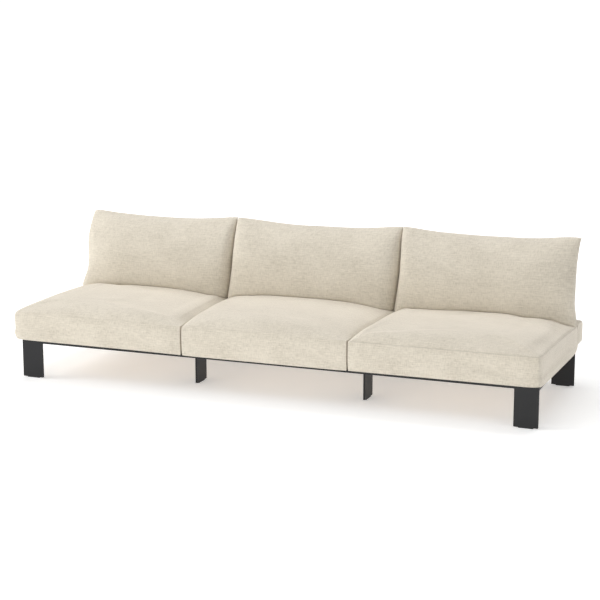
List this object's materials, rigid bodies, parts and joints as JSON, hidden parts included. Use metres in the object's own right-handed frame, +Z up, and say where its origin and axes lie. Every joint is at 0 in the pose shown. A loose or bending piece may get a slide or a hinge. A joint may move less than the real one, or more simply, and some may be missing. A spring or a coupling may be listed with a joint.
{
  "type": "armless sofa",
  "caption": "Long low armless sofa: crowned seat cushions and leaning knife-edge back cushions on a flat steel frame with plate legs and an upholstered bolster behind",
  "frame": {"origin": "On the floor, under the middle of the whole sofa's bounding box.", "axes": "+Z is up, the sofa faces -Y, and +X runs along it to the viewer's right, who stands in front of it."},
  "size_m": [2.8952, 1.024, 0.7821],
  "materials": {
    "coated_steel": "matte",
    "zinc_plated_steel": "satin",
    "nylon_glide": "matte",
    "slat_plywood": "satin",
    "core_timber": "matte",
    "elastic_webbing": "matte",
    "linen_weave": "matte",
    "cushion_foam": "matte"
  },
  "bodies": {
    "base": {"front_rail": "coated_steel", "rear_rail": "coated_steel", "left_end_bar": "coated_steel", "right_end_bar": "coated_steel", "left_cross_bar": "coated_steel", "right_cross_bar": "coated_steel", "front_left_leg": "coated_steel", "front_right_leg": "coated_steel", "rear_left_leg": "coated_steel", "rear_right_leg": "coated_steel", "front_left_middle_leg": "coated_steel", "front_right_middle_leg": "coated_steel", "rear_left_middle_leg": "coated_steel", "rear_right_middle_leg": "coated_steel", "glides": "nylon_glide", "leg_bolts": "zinc_plated_steel", "left_slat_1": "slat_plywood", "left_slat_2": "slat_plywood", "left_slat_3": "slat_plywood", "left_slat_4": "slat_plywood", "left_slat_5": "slat_plywood", "middle_slat_1": "slat_plywood", "middle_slat_2": "slat_plywood", "middle_slat_3": "slat_plywood", "middle_slat_4": "slat_plywood", "middle_slat_5": "slat_plywood", "right_slat_1": "slat_plywood", "right_slat_2": "slat_plywood", "right_slat_3": "slat_plywood", "right_slat_4": "slat_plywood", "right_slat_5": "slat_plywood", "bolster_bracket_1": "coated_steel", "bolster_bracket_2": "coated_steel", "bolster_bracket_3": "coated_steel", "bolster_bracket_4": "coated_steel", "back_post_1": "coated_steel", "back_post_2": "coated_steel", "back_post_3": "coated_steel", "back_post_4": "coated_steel", "post_bolts": "zinc_plated_steel", "back_top_rail": "coated_steel", "lower_back_strap": "elastic_webbing", "upper_back_strap": "elastic_webbing", "bolster_core": "core_timber", "bolster_cover": "linen_weave", "bolster_screws": "zinc_plated_steel"},
    "left_seat": {"left_seat_cushion": "linen_weave", "left_seat_core": "cushion_foam"},
    "left_back": {"left_back_cushion": "linen_weave", "left_back_core": "cushion_foam"},
    "middle_seat": {"middle_seat_cushion": "linen_weave", "middle_seat_core": "cushion_foam"},
    "middle_back": {"middle_back_cushion": "linen_weave", "middle_back_core": "cushion_foam"},
    "right_seat": {"right_seat_cushion": "linen_weave", "right_seat_core": "cushion_foam"},
    "right_back": {"right_back_cushion": "linen_weave", "right_back_core": "cushion_foam"}
  },
  "joints": [
    {"name": "lift_left_seat", "type": "slide", "parent": "base", "child": "left_seat", "axis": [0, 0, 1], "range_m": [0, 0.6]},
    {"name": "lift_middle_seat", "type": "slide", "parent": "base", "child": "middle_seat", "axis": [0, 0, 1], "range_m": [0, 0.6]},
    {"name": "lift_right_seat", "type": "slide", "parent": "base", "child": "right_seat", "axis": [0, 0, 1], "range_m": [0, 0.6]},
    {"name": "lift_left_back", "type": "slide", "parent": "left_seat", "child": "left_back", "axis": [0, 0, 1], "range_m": [0, 0.6]},
    {"name": "lift_middle_back", "type": "slide", "parent": "middle_seat", "child": "middle_back", "axis": [0, 0, 1], "range_m": [0, 0.6]},
    {"name": "lift_right_back", "type": "slide", "parent": "right_seat", "child": "right_back", "axis": [0, 0, 1], "range_m": [0, 0.6]}
  ]
}
